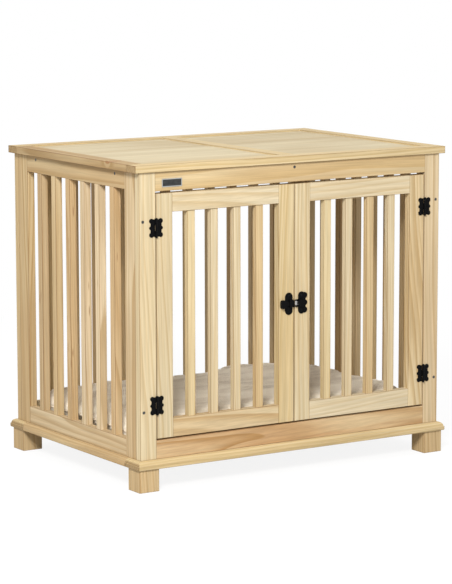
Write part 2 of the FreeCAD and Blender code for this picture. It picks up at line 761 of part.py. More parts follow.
badge_left = -opening_half + badge_offset
badge_middle = body_top - front_rail_width / 2 - badge_drop
badge = front_block(badge_left, badge_left + badge_width, 0, badge_thickness,
                    badge_middle - badge_height / 2, badge_middle + badge_height / 2)
nodes["badge_plate"] = eased(badge, y_axis, badge_round)


# Floor cushion: a crowned pad whose sides draw in between its corners

def pad_outline(half_x, half_y, level):
    """Closed outline of the pad at one height: four corner arcs and four bowed sides."""
    bend = cushion_corner * (1 - math.sqrt(0.5))
    flat_x = half_x - cushion_corner
    flat_y = half_y - cushion_corner
    bow_x = half_x - cushion_draw_in
    bow_y = half_y - cushion_draw_in
    near_x = half_x - bend
    near_y = half_y - bend
    points = [(half_x, -flat_y), (bow_x, 0), (half_x, flat_y), (near_x, near_y),
              (flat_x, half_y), (0, bow_y), (-flat_x, half_y), (-near_x, near_y),
              (-half_x, flat_y), (-bow_x, 0), (-half_x, -flat_y), (-near_x, -near_y),
              (-flat_x, -half_y), (0, -bow_y), (flat_x, -half_y), (near_x, -near_y)]
    corners = [FreeCAD.Vector(x, y, level) for x, y in points]
    corners.append(corners[0])
    arcs = [Part.Arc(*corners[index:index + 3]).toShape() for index in range(0, len(points), 2)]
    return Part.Wire(arcs)


pad_half_x = inner_half_width - cushion_side_gap
pad_half_y = inner_half_depth - cushion_side_gap
pad_bottom = floor_top + cushion_floor_gap
pad_outlines = []
for rise_share, inset_share in cushion_outline_shares:
    inset = inset_share * cushion_edge
    level = pad_bottom + rise_share * cushion_thickness
    pad_outlines.append(pad_outline(pad_half_x - inset, pad_half_y - inset, level))
nodes["cushion"] = Part.makeLoft(pad_outlines, True, True)


for name, shape in nodes.items():
    shape.exportStep("parts/" + name + ".step")
    state = "valid" if shape.isValid() else "not valid"
    print(name, len(shape.Solids), "solids", round(shape.Volume), "cubic mm", state)
print(len(nodes), "nodes")
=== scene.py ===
# %% [markdown]
# # A pine pet crate
# The crate is built in CAD: every board, screw, hinge and latch piece is already a solid in its right
# place. This lesson dresses it in Blender. The boards get a pine finish with rings, streaks and end
# grain, the fittings get satin black and dull steel, the soft floor cushion is blown up with a cloth
# simulation, and the camera and the lights copy a plain studio photograph.

# %% Load the frame
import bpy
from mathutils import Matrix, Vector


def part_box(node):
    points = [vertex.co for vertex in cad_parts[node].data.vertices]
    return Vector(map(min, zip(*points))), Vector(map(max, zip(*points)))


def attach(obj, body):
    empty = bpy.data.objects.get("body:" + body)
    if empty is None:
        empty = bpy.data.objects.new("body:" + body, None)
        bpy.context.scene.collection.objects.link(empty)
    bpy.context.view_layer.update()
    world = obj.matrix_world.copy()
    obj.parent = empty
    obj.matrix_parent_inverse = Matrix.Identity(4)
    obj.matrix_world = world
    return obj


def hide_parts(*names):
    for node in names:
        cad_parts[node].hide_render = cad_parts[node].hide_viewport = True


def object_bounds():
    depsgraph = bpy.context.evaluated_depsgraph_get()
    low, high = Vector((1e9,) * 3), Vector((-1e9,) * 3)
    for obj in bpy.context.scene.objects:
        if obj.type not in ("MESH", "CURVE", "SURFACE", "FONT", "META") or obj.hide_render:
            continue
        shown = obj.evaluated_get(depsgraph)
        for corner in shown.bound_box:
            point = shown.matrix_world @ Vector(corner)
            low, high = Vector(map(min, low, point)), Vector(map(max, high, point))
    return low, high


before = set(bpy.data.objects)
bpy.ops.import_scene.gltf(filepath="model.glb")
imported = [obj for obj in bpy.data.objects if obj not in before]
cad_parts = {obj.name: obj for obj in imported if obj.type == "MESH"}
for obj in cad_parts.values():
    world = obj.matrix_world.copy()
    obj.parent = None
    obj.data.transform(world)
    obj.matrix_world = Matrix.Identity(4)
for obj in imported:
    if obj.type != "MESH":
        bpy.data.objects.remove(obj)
cad_low, cad_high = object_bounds()
print("CAD nodes:", len(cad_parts), "box", [round(v, 4) for v in cad_high - cad_low])

# %% [markdown]
# ## Camera
# A long lens from about six metres keeps the upright edges nearly parallel, as in a catalogue picture.
# The place and the turn of the camera come from fitting the crate's corners to the picture, so they are
# plain numbers here.

# %% Camera
import bpy
from math import copysign, cos, exp, pi, radians, sin, tanh
from mathutils import Euler, Matrix, Vector

camera_place = (-3.1837, -4.9659, 1.2553)
camera_turn = (81.42, 0.09, -32.67)
camera_lens = 161.3
camera_sensor = 36.0


def new_object(name, data):
    """A new object, linked into the scene."""
    piece = bpy.data.objects.new(name, data)
    bpy.context.scene.collection.objects.link(piece)
    return piece


camera_data = bpy.data.cameras.new("camera")
camera_data.lens = camera_lens
camera_data.sensor_width = camera_sensor
camera_data.sensor_fit = "AUTO"
camera = new_object("camera", camera_data)
camera.location = camera_place
camera.rotation_euler = [radians(angle) for angle in camera_turn]
bpy.context.scene.camera = camera
camera_distance = (Vector(camera_place) - (cad_low + cad_high) / 2).length
print("camera is", round(camera_distance, 2), "m from the crate")

# %% [markdown]
# ## Small helpers for node trees
# Shader trees and geometry trees are both lists of nodes and links. A few short functions keep the
# trees below readable: `feed` sets a socket to a number or links it, and the others add one kind of
# node and hand back its output.

# %% Node helpers


def feed(tree, socket, value):
    """Links a socket to another one, or sets its own value."""
    if isinstance(value, bpy.types.NodeSocket):
        tree.links.new(value, socket)
    elif value is not None:
        socket.default_value = value


def added(tree, kind, settings=(), **inputs):
    """Adds a node, sets its properties, then feeds its inputs by name (spaces are written as _)."""
    node = tree.nodes.new(kind)
    for name, value in dict(settings).items():
        setattr(node, name, value)
    for name, value in inputs.items():
        feed(tree, node.inputs[name.replace("_", " ")], value)
    return node


def sums(tree, operation, *values, clamp=False):
    """A Math node."""
    node = added(tree, "ShaderNodeMath", {"operation": operation, "use_clamp": clamp})
    for socket, value in zip(node.inputs, values):
        feed(tree, socket, value)
    return node.outputs["Value"]


def vectors(tree, operation, *values, output="Vector"):
    """A Vector Math node."""
    node = added(tree, "ShaderNodeVectorMath", {"operation": operation})
    for socket, value in zip(node.inputs, values):
        feed(tree, socket, value)
    return node.outputs[output]


def ramped(tree, value, low, high, to_low=0.0, to_high=1.0):
    """A clamped, eased Map Range node."""
    node = added(tree, "ShaderNodeMapRange", {"interpolation_type": "SMOOTHSTEP"}, Value=value)
    for name, number in (("From Min", low), ("From Max", high), ("To Min", to_low), ("To Max", to_high)):
        feed(tree, node.inputs[name], number)
    return node.outputs["Result"]


def mixed(tree, factor, first, second, blend="MIX"):
    """Two colours mixed."""
    node = added(tree, "ShaderNodeMix", {"data_type": "RGBA", "blend_type": blend})
    for index, value in ((0, factor), (6, first), (7, second)):
        feed(tree, node.inputs[index], value)
    return node.outputs[2]


def noisy(tree, vector, stretch, detail=2.0, roughness=0.5, output="Fac"):
    """Noise on coordinates that are first stretched by three counts per metre."""
    place = vectors(tree, "MULTIPLY", vector, stretch)
    node = added(tree, "ShaderNodeTexNoise", Vector=place, Scale=1.0, Detail=detail, Roughness=roughness)
    return node.outputs[output]


def new_group(name, inputs, outputs):
    """An empty shader node group with named sockets; hands back the tree, its inputs and its output node."""
    tree = bpy.data.node_groups.new(name, "ShaderNodeTree")
    for socket_name, kind, value in inputs:
        socket = tree.interface.new_socket(socket_name, in_out="INPUT", socket_type="NodeSocket" + kind)
        if value is not None:
            socket.default_value = value
    for socket_name, kind in outputs:
        tree.interface.new_socket(socket_name, in_out="OUTPUT", socket_type="NodeSocket" + kind)
    return tree, tree.nodes.new("NodeGroupInput").outputs, tree.nodes.new("NodeGroupOutput")


def new_material(name):
    """A new material; hands back the material, its node tree and its Principled shader."""
    material = bpy.data.materials.new(name)
    material.use_nodes = True
    return material, material.node_tree, material.node_tree.nodes["Principled BSDF"]


def placed(tree, group, **inputs):
    """Places a node group in a material's tree and feeds its inputs by name."""
    return added(tree, "ShaderNodeGroup", {"node_tree": group}, **inputs)


print("helpers ready")

# %% [markdown]
# ## Pine as a log
# Painting lines on each face would look like wallpaper at the corners. Here the figure is solid: every
# board is thought of as cut from its own log, with growth rings around a pith that runs along the
# grain. Where a face cuts the rings flat it shows cathedral arches, an edge shows straight lines, and
# an end shows arcs, all from one rule. The group takes board coordinates with Z along the grain.

# %% Pine figure group
dark_fleck = (0.23, 0.105, 0.04, 1.0)
knot_heart = (0.42, 0.23, 0.10, 1.0)
knot_ring = (0.22, 0.10, 0.04, 1.0)
fleck_strength, knot_strength = 0.75, 0.9
knot_ring_count = 3.0
knot_stretch = 0.55
# Counts per metre: twice across the grain, then along it
sway_counts = (6.0, 6.0, 1.5)
ripple_counts = (45.0, 45.0, 7.0)
fibre_counts = (520.0, 520.0, 9.0)
thread_counts = (170.0, 170.0, 2.6)
broad_counts = (24.0, 24.0, 0.9)
drift_counts = (5.0, 5.0, 2.2)
fleck_counts = (230.0, 230.0, 24.0)
ripple_height = 0.0016
season_count, season_swing = 38.0, 2.6
end_ring_gain = 0.5
late_polish = 0.07
fibre_relief, ring_relief = 0.6, 0.4


def make_pine_figure():
    """Growth rings, a knot, broad streaks, finer threads and fibres, and a few resin flecks."""
    tree, given, result = new_group("pine_figure", [
        ("Board", "Vector", None), ("Ring Width", "Float", 0.006), ("Wander", "Float", 0.012),
        ("Pale", "Color", None), ("Late", "Color", None), ("Streak", "Color", None),
        ("Ring Depth", "Float", 0.7), ("Streak Depth", "Float", 0.5), ("Fleck Share", "Float", 0.0),
        ("Branch", "Vector", None), ("Knot Size", "Float", 0.001), ("End", "Float", 0.0),
    ], [("Color", "Color"), ("Roughness", "Float"), ("Height", "Float")])
    board = given["Board"]
    spot = added(tree, "ShaderNodeSeparateXYZ", Vector=board).outputs
    branch = added(tree, "ShaderNodeSeparateXYZ", Vector=given["Branch"]).outputs
    beside = sums(tree, "SUBTRACT", sums(tree, "MULTIPLY", spot["X"], branch["Y"]),
                  sums(tree, "MULTIPLY", spot["Y"], branch["X"]))
    above = sums(tree, "MULTIPLY", sums(tree, "SUBTRACT", spot["Z"], branch["Z"]), knot_stretch)
    from_knot = vectors(tree, "LENGTH", added(tree, "ShaderNodeCombineXYZ", X=beside, Y=above).outputs[0],
                        output="Value")
    from_knot = sums(tree, "DIVIDE", from_knot, given["Knot Size"])
    knot = ramped(tree, from_knot, 0.8, 1.15, 1.0, 0.0)
    bulge = sums(tree, "MULTIPLY", ramped(tree, from_knot, 0.6, 3.6, 1.3, 0.0), given["Knot Size"])

    sway = noisy(tree, board, sway_counts, 2.0, output="Color")
    sway = vectors(tree, "SUBTRACT", sway, (0.5, 0.5, 0.5))
    sway = vectors(tree, "MULTIPLY", sway, (2.0, 2.0, 0.0))
    sway = vectors(tree, "SCALE", sway)
    feed(tree, sway.node.inputs["Scale"], given["Wander"])
    across = vectors(tree, "MULTIPLY", vectors(tree, "ADD", board, sway), (1.0, 1.0, 0.0))
    radius = vectors(tree, "LENGTH", across, output="Value")
    ripple = sums(tree, "SUBTRACT", noisy(tree, board, ripple_counts, 2.0), 0.5)
    radius = sums(tree, "ADD", radius, sums(tree, "MULTIPLY", ripple, ripple_height))
    radius = sums(tree, "ADD", radius, bulge)
    seasons = added(tree, "ShaderNodeTexNoise", {"noise_dimensions": "1D"}, W=radius,
                    Scale=season_count, Detail=1.0)
    count = sums(tree, "DIVIDE", radius, given["Ring Width"])
    count = sums(tree, "ADD", count, sums(tree, "MULTIPLY", seasons.outputs["Fac"], season_swing))
    within = sums(tree, "FRACT", count)
    rise = ramped(tree, within, 0.25, 0.86)
    fall = ramped(tree, within, 0.9, 1.0, 1.0, 0.0)
    year = added(tree, "ShaderNodeTexWhiteNoise", {"noise_dimensions": "1D"},
                 W=sums(tree, "FLOOR", count))
    strength = ramped(tree, year.outputs["Value"], 0.0, 1.0, 0.3, 1.0)
    late = sums(tree, "MULTIPLY", sums(tree, "MULTIPLY", rise, fall), strength)

    fibre = noisy(tree, board, fibre_counts, 3.0, 0.6)
    thread = noisy(tree, board, thread_counts, 3.0, 0.65)
    broad = ramped(tree, noisy(tree, board, broad_counts, 3.0, 0.55), 0.45, 0.72)
    drift = ramped(tree, noisy(tree, board, drift_counts, 1.0), 0.42, 0.7, 0.0, 0.7)
    tinted = sums(tree, "MULTIPLY", sums(tree, "MAXIMUM", broad, drift), given["Streak Depth"])
    cells = added(tree, "ShaderNodeTexVoronoi", Scale=1.0,
                  Vector=vectors(tree, "MULTIPLY", board, fleck_counts))
    chosen = added(tree, "ShaderNodeSeparateColor", Color=cells.outputs["Color"]).outputs["Red"]
    chosen = sums(tree, "LESS_THAN", chosen, given["Fleck Share"])
    fleck = ramped(tree, cells.outputs["Distance"], 0.12, 0.4, 1.0, 0.0)
    fleck = sums(tree, "MULTIPLY", fleck, chosen)

    depth = sums(tree, "MULTIPLY", given["End"], end_ring_gain)
    depth = sums(tree, "ADD", given["Ring Depth"], depth, clamp=True)
    color = mixed(tree, tinted, given["Pale"], given["Streak"])
    color = mixed(tree, sums(tree, "MULTIPLY", late, depth), color, given["Late"])
    color = vectors(tree, "SCALE", color)
    shade = sums(tree, "MULTIPLY", ramped(tree, fibre, 0.25, 0.75, 0.91, 1.07),
                 ramped(tree, thread, 0.3, 0.7, 0.91, 1.06))
    feed(tree, color.node.inputs["Scale"], shade)
    color = mixed(tree, sums(tree, "MULTIPLY", fleck, fleck_strength), color, dark_fleck)
    knot_year = sums(tree, "FRACT", sums(tree, "MULTIPLY", from_knot, knot_ring_count))
    knot_color = mixed(tree, ramped(tree, knot_year, 0.2, 0.9), knot_heart, knot_ring)
    color = mixed(tree, sums(tree, "MULTIPLY", knot, knot_strength), color, knot_color)
    feed(tree, result.inputs["Color"], color)
    rough = ramped(tree, fibre, 0.2, 0.8, 0.58, 0.74)
    rough = sums(tree, "SUBTRACT", rough, sums(tree, "MULTIPLY", late, late_polish))
    feed(tree, result.inputs["Roughness"], rough)
    height = sums(tree, "ADD", sums(tree, "MULTIPLY", fibre, fibre_relief),
                  sums(tree, "MULTIPLY", late, ring_relief))
    feed(tree, result.inputs["Height"], height)
    return tree


pine_figure = make_pine_figure()
print("pine_figure has", len(pine_figure.nodes), "nodes")

# %% [markdown]
# ## End grain
# Sawn ends drink more finish than faces and look darker. The group compares the surface's own
# direction, in object space so that it turns with a door, with the grain's direction.

# %% End grain group


def make_end_grain():
    """A mask that is 1 where the grain runs straight out of the surface."""
    tree, given, result = new_group("end_grain", [
        ("Normal", "Vector", None), ("Grain", "Vector", None),
    ], [("End", "Float")])
    along = vectors(tree, "DOT_PRODUCT", given["Normal"], given["Grain"], output="Value")
    feed(tree, result.inputs["End"], ramped(tree, sums(tree, "ABSOLUTE", along), 0.75, 0.95))
    return tree


end_grain = make_end_grain()
print("end_grain has", len(end_grain.nodes), "nodes")

# %% [markdown]
# ## Painted shade along the edges
# Every board is darkened a little along its edges. This is painted shade: it stands in for the thin dark
# lines of shade in the gaps and joints between boards. On a box, the second smallest distance to the faces
# is the distance to the nearest edge, so no edge has to be drawn by hand.

# %% Board edges group


def make_edge_shade_mask():
    """A mask for painted shade that is 1 along the edges of a box with the given half sizes."""
    tree, given, result = new_group("edge_shade_mask", [
        ("Place", "Vector", None), ("Half", "Vector", None), ("Width", "Float", 0.0008),
    ], [("Edge", "Float")])
    inside = vectors(tree, "SUBTRACT", given["Half"], vectors(tree, "ABSOLUTE", given["Place"]))
    left = added(tree, "ShaderNodeSeparateXYZ", Vector=inside).outputs
    low = sums(tree, "MINIMUM", left["X"], left["Y"])
    high = sums(tree, "MAXIMUM", left["X"], left["Y"])
    second = sums(tree, "MAXIMUM", low, sums(tree, "MINIMUM", high, left["Z"]))
    share = sums(tree, "DIVIDE", second, given["Width"])
    feed(tree, result.inputs["Edge"], ramped(tree, share, 0.4, 1.0, 1.0, 0.0))
    return tree


edge_shade_mask = make_edge_shade_mask()
print("edge_shade_mask has", len(edge_shade_mask.nodes), "nodes")

# %% [markdown]
# ## Pine tones
# Boards from one pile differ. Most of the front is cream or milk, the rail above the doors is honey,
# the one below them has a reddish flame, the side walls are a little duller, and the sheets in the top
# are pale. Each tone is three colours: pale spring wood, darker summer wood, and the tint of broad
# streaks.

# %% Pine tones
pine_tones = {
    "cream": ((0.609, 0.505, 0.322), (0.461, 0.322, 0.157), (0.531, 0.400, 0.217)),
    "linen": ((0.574, 0.478, 0.308), (0.436, 0.308, 0.152), (0.502, 0.380, 0.208)),
    "milk": ((0.626, 0.531, 0.365), (0.505, 0.374, 0.200), (0.566, 0.444, 0.261)),
    "straw": ((0.592, 0.470, 0.274), (0.452, 0.313, 0.131), (0.522, 0.374, 0.174)),
    "tan": ((0.592, 0.470, 0.287), (0.435, 0.287, 0.131), (0.496, 0.339, 0.174)),
    "amber": ((0.628, 0.502, 0.304), (0.428, 0.284, 0.126), (0.500, 0.338, 0.163)),
    "honey": ((0.580, 0.445, 0.252), (0.475, 0.319, 0.139), (0.521, 0.355, 0.181)),
    "flame": ((0.600, 0.444, 0.252), (0.374, 0.209, 0.078), (0.418, 0.226, 0.096)),
    "sand": ((0.618, 0.487, 0.304), (0.418, 0.278, 0.131), (0.470, 0.322, 0.165)),
    "biscuit": ((0.566, 0.426, 0.235), (0.400, 0.252, 0.104), (0.444, 0.296, 0.148)),
    "toast": ((0.470, 0.345, 0.187), (0.310, 0.190, 0.075), (0.365, 0.227, 0.098)),
    "sheet": ((0.590, 0.508, 0.340), (0.440, 0.340, 0.192), (0.470, 0.370, 0.220)),
}
print("tones:", ", ".join(pine_tones))

# %% [markdown]
# ## One material per board
# `pine_board` places the shared groups in a new material. A Mapping node turns the crate's coordinates
# into board coordinates: it lays the grain along Z, tilts the log a little and sets the pith beside the
# board's own centre. A knot is a branch that leaves the pith towards the board's centre, so it shows on
# every face that it crosses. A slat row passes `slats`, which gives each slat its own place in the log
# and its own tint.

# %% Pine board material
grain_turns = {
    "X": Matrix.Rotation(radians(-90), 3, "Y"),
    "Y": Matrix.Rotation(radians(90), 3, "X"),
    "Z": Matrix.Identity(3),
}
grain_ways = {"X": (1.0, 0.0, 0.0), "Y": (0.0, 1.0, 0.0), "Z": (0.0, 0.0, 1.0)}
end_tint = (0.62, 0.56, 0.52, 1.0)
# The edge tint is painted shade, laid along every board's edges where the gaps and joints look dark
edge_shade_tint = (0.42, 0.32, 0.23, 1.0)
edge_width = 0.001
slat_width = 0.019
slat_jump = (0.11, 0.11, 3.0)
pine_gloss = 0.22
pine_bump, pine_relief = 0.25, 0.0004


def opaque(color):
    """Three colour numbers with a full alpha."""
    return (*color, 1.0)


def slat_look(tree, place, slats):
    """Each slat's own place in the log, its own tint and its step from the row's middle."""
    axis, start, pitch, tints = slats
    along = added(tree, "ShaderNodeSeparateXYZ", Vector=place).outputs[axis]
    number = sums(tree, "ROUND", sums(tree, "DIVIDE", sums(tree, "SUBTRACT", along, start), pitch))
    draw = added(tree, "ShaderNodeTexWhiteNoise", {"noise_dimensions": "1D"}, W=number)
    jump = vectors(tree, "SUBTRACT", draw.outputs["Color"], (0.5, 0.5, 0.5))
    jump = vectors(tree, "MULTIPLY", jump, slat_jump)
    share = sums(tree, "DIVIDE", sums(tree, "ADD", number, 0.5), float(len(tints)))
    table = added(tree, "ShaderNodeValToRGB", Fac=share)
    stops = table.color_ramp.elements
    table.color_ramp.interpolation = "CONSTANT"
    while len(stops) < len(tints):
        stops.new(1.0)
    for index, tint in enumerate(tints):
        stops[index].position = index / len(tints)
        stops[index].color = opaque(tint)
    step = sums(tree, "MULTIPLY", sums(tree, "SUBTRACT", number, (len(tints) - 1) / 2), pitch)
    step = added(tree, "ShaderNodeCombineXYZ", **{axis: step}).outputs["Vector"]
    return jump, table.outputs["Color"], step


def pine_board(name, tone, grain, box, pith, tilt, ring=0.006, wander=0.012, ring_depth=0.75,
               streak_depth=0.6, fleck=0.0, knot=(9.0, 0.001), slats=None):
    """A pine material for one board or a row of slats; a knot has a place along the grain and a radius."""
    material, tree, shader = new_material("pine_" + name)
    centre, half = (box[0] + box[1]) / 2, (box[1] - box[0]) / 2
    turn = Euler([radians(angle) for angle in (*tilt, 0.0)]).to_matrix() @ grain_turns[grain]
    shift = Vector((*pith, 0.0)) - turn @ centre
    sight = tree.nodes.new("ShaderNodeTexCoord")
    mapping = added(tree, "ShaderNodeMapping", Vector=sight.outputs["Object"])
    mapping.inputs["Rotation"].default_value = turn.to_euler()
    mapping.inputs["Location"].default_value = shift
    place = mapping.outputs["Vector"]
    ends = placed(tree, end_grain, Normal=sight.outputs["Normal"], Grain=grain_ways[grain])
    spot = vectors(tree, "SUBTRACT", sight.outputs["Object"], centre)
    if slats is not None:
        jump, slat_tint, slat_step = slat_look(tree, sight.outputs["Object"], slats)
        place = vectors(tree, "ADD", place, jump)
        spot = vectors(tree, "SUBTRACT", spot, slat_step)
        half["XYZ".index(slats[0])] = slat_width / 2
    edges = placed(tree, edge_shade_mask, Place=spot, Half=half, Width=edge_width)
    pale, late, streak = [opaque(color) for color in pine_tones[tone]]
    way = Vector(pith).normalized()
    figure = placed(tree, pine_figure, Board=place, Ring_Width=ring, Wander=wander,
                    Pale=pale, Late=late, Streak=streak, Ring_Depth=ring_depth, Streak_Depth=streak_depth,
                    Fleck_Share=fleck, Branch=(way.x, way.y, knot[0]), Knot_Size=knot[1],
                    End=ends.outputs["End"])
    color = figure.outputs["Color"]
    if slats is not None:
        color = mixed(tree, 1.0, color, slat_tint, "MULTIPLY")
    color = mixed(tree, ends.outputs["End"], color, mixed(tree, 1.0, color, end_tint, "MULTIPLY"))
    # Painted shade: the colour is darkened along the board's edges
    color = mixed(tree, edges.outputs["Edge"], color, mixed(tree, 1.0, color, edge_shade_tint, "MULTIPLY"))
    feed(tree, shader.inputs["Base Color"], color)
    feed(tree, shader.inputs["Roughness"], figure.outputs["Roughness"])
    bump = added(tree, "ShaderNodeBump", Strength=pine_bump, Distance=pine_relief,
                 Height=figure.outputs["Height"])
    feed(tree, shader.inputs["Normal"], bump.outputs["Normal"])
    shader.inputs["Specular IOR Level"].default_value = pine_gloss
    return material


def dress(name, material):
    """Gives a CAD node its finish."""
    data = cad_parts[name].data
    data.materials.clear()
    data.materials.append(material)


print("pine_board ready")

# %% [markdown]
# ## The boards and their logs
# Each row names a board, its tone, the way its grain runs, and where the pith lies beside it in metres.
# A pith close to the board and a tilt of a degree or two give wide arches, a pith far away gives
# straight lines.

# %% Dress the boards
board_table = [
    ("front_post_left", "cream", "Z", (0.045, -0.075), (0.5, 1.2)),
    ("front_post_right", "sand", "Z", (-0.06, -0.09), (-0.4, 0.8)),
    ("front_top_rail", "honey", "X", (0.03, -0.07), (0.8, -0.8)),
    ("front_bottom_rail", "flame", "X", (-0.012, -0.028), (2.6, 1.6)),
    ("left_front_stile", "sand", "Z", (-0.08, 0.03), (0.6, 0.5)),
    ("left_back_stile", "biscuit", "Z", (-0.07, -0.05), (0.5, -0.7)),
    ("left_top_rail", "biscuit", "Y", (-0.06, 0.02), (1.0, 0.8)),
    ("left_bottom_rail", "sand", "Y", (-0.05, 0.03), (1.2, -0.9)),
    ("right_front_stile", "biscuit", "Z", (0.07, 0.04), (-0.6, 0.9)),
    ("right_back_stile", "biscuit", "Z", (0.08, -0.03), (0.8, 0.4)),
    ("right_top_rail", "sand", "Y", (0.06, 0.02), (-1.0, 0.7)),
    ("right_bottom_rail", "sand", "Y", (0.05, 0.03), (1.1, 0.9)),
    ("back_stile_left", "biscuit", "Z", (0.05, 0.07), (0.7, 0.8)),
    ("back_stile_right", "biscuit", "Z", (-0.05, 0.08), (-0.6, 1.0)),
    ("back_top_rail", "cream", "X", (0.03, 0.05), (1.0, 0.9)),
    ("back_bottom_rail", "cream", "X", (-0.02, 0.04), (1.5, -0.8)),
    ("left_door_hinge_stile", "linen", "Z", (0.06, -0.08), (0.4, 0.9)),
    ("left_door_meeting_stile", "straw", "Z", (-0.05, -0.06), (0.8, -1.0)),
    ("left_door_top_rail", "milk", "X", (-0.03, -0.04), (2.2, 1.4)),
    ("left_door_bottom_rail", "tan", "X", (-0.028, -0.035), (2.6, 1.2)),
    ("right_door_hinge_stile", "amber", "Z", (0.04, -0.05), (2.0, 2.4)),
    ("right_door_meeting_stile", "cream", "Z", (0.045, -0.055), (-0.9, 1.2)),
    ("right_door_top_rail", "milk", "X", (0.04, -0.06), (1.2, -1.0)),
    ("right_door_bottom_rail", "milk", "X", (0.05, -0.07), (1.0, 0.8)),
    ("foot_front_left", "biscuit", "Z", (0.07, -0.05), (0.8, 0.7)),
    ("foot_front_right", "biscuit", "Z", (0.06, -0.06), (-0.7, 0.9)),
    ("foot_back_left", "biscuit", "Z", (0.05, -0.07), (0.9, 0.6)),
    ("foot_back_right", "biscuit", "Z", (0.06, 0.05), (0.8, -0.7)),
    ("plinth_front", "straw", "X", (-0.04, 0.05), (0.8, 0.5)),
    ("plinth_back", "straw", "X", (0.03, 0.06), (-0.7, 0.6)),
    ("plinth_left", "biscuit", "Y", (-0.05, 0.03), (0.9, 0.7)),
    ("plinth_right", "straw", "Y", (0.06, 0.03), (0.8, -0.8)),
    ("top_rail_front", "straw", "X", (0.05, 0.05), (0.7, 0.8)),
    ("top_rail_back", "straw", "X", (-0.05, 0.06), (0.8, 0.6)),
    ("top_rail_left", "toast", "Y", (0.06, 0.010), (1.6, 1.4)),
    ("top_rail_right", "straw", "Y", (-0.06, 0.04), (0.8, 0.7)),
    ("top_rail_center", "straw", "Y", (0.05, 0.06), (-0.7, 0.9)),
    ("top_panels", "sheet", "X", (0.02, -0.22), (0.4, 0.5)),
    ("floor_panel", "sheet", "X", (-0.03, -0.24), (0.4, 0.6)),
    ("floor_batten", "sheet", "Y", (0.04, 0.06), (0.8, 0.5)),
    ("top_cleats", "sand", "Y", (0.05, 0.07), (0.6, 0.5)),
]
board_figure = {
    "front_bottom_rail": {"ring": 0.013, "wander": 0.040, "ring_depth": 1.0, "streak_depth": 1.0},
    "front_top_rail": {"ring": 0.009, "ring_depth": 0.9},
    "left_door_top_rail": {"ring": 0.008, "ring_depth": 0.9, "streak_depth": 0.8},
    "left_door_bottom_rail": {"ring": 0.010, "wander": 0.020, "ring_depth": 0.9},
    "left_door_meeting_stile": {"ring": 0.007, "streak_depth": 0.8},
    "right_door_hinge_stile": {"ring": 0.009, "wander": 0.030, "ring_depth": 1.0, "streak_depth": 0.9},
    "front_post_left": {"ring_depth": 0.55, "streak_depth": 0.5},
    "left_front_stile": {"ring_depth": 0.9, "streak_depth": 0.8},
    "left_back_stile": {"ring": 0.008, "ring_depth": 1.0, "streak_depth": 1.0},
    "left_top_rail": {"ring": 0.008, "ring_depth": 0.9, "streak_depth": 0.8},
    "left_bottom_rail": {"ring": 0.008, "ring_depth": 0.9},
    "top_rail_left": {"knot": (-0.165, 0.0055), "ring": 0.007, "ring_depth": 1.0, "streak_depth": 0.9},
    "top_panels": {"ring": 0.010, "ring_depth": 0.9, "streak_depth": 1.0},
    "right_door_bottom_rail": {"ring_depth": 0.5, "streak_depth": 0.4},
    "right_front_stile": {"knot": (0.13, 0.006)},
    "right_back_stile": {"ring": 0.009, "wander": 0.020, "knot": (-0.16, 0.008)},
    "right_bottom_rail": {"ring": 0.010, "ring_depth": 0.9, "knot": (0.09, 0.006)},
    "back_stile_left": {"knot": (0.12, 0.008)},
    "back_top_rail": {"ring": 0.009, "knot": (-0.21, 0.007)},
    "back_bottom_rail": {"ring": 0.010, "wander": 0.020, "ring_depth": 0.9},
    "plinth_left": {"ring_depth": 0.9, "streak_depth": 0.9},
    "plinth_back": {"knot": (0.24, 0.006)},
}
for name, tone, grain, pith, tilt in board_table:
    dress(name, pine_board(name, tone, grain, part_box(name), pith, tilt, **board_figure.get(name, {})))
print("boards dressed:", len(board_table), "with their own figure:", len(board_figure))

# %% [markdown]
# ## Slats
# A row of slats is one CAD node. The slats stand at an even pitch, so a slat's number follows from its
# place, and that number draws its own piece of the log and picks its tint. Slats are offcuts, so the
# walls mix all kinds.

# %% Dress the slats
# One letter for each tint: fair, pale, natural, yellow, coppery, umber
slat_tints = {
    "f": (1.12, 1.15, 1.22), "p": (1.05, 1.06, 1.10), "n": (1.0, 1.0, 1.02),
    "y": (1.01, 0.99, 0.92), "c": (0.95, 0.87, 0.77), "u": (0.87, 0.82, 0.76),
}
slat_pith, slat_tilt, slat_ring_depth = (0.03, -0.06), (0.6, 0.8), 0.85
# Each row of slats: its axis, its letters, its tone and its share of flecks
slat_rows = {
    "left_slats": ("Y", "cfpcyu", "sand", 0.03),
    "right_slats": ("Y", "pcyfup", "biscuit", 0.006),
    "back_slats": ("X", "ypcfpuypcfp", "biscuit", 0.006),
    "left_door_slats": ("X", "ynnc", "cream", 0.0),
    "right_door_slats": ("X", "yncn", "cream", 0.0),
}
for name, (axis, letters, tone, fleck) in slat_rows.items():
    low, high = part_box(name)
    index = "XYZ".index(axis)
    start = low[index] + slat_width / 2
    pitch = (high[index] - low[index] - slat_width) / (len(letters) - 1)
    tints = [slat_tints[letter] for letter in letters]
    dress(name, pine_board(name, tone, "Z", (low, high), slat_pith, slat_tilt, fleck=fleck,
                           ring_depth=slat_ring_depth, slats=(axis, start, pitch, tints)))
    print(name, len(letters), "slats, one every", round(pitch * 1000, 1), "mm")

# %% [markdown]
# ## Metal
# The hinges, the latch and their screws are satin black. The screws of the frame and the blank plate
# are dull steel, and the strike behind the bolt is bright. All of them share one skin: a fine grain
# that varies the gloss and barely stands up from the surface.

# %% Metal skin group
blotch_counts = (120.0, 120.0, 120.0)
speckle_share, blotch_share = 0.6, 0.4


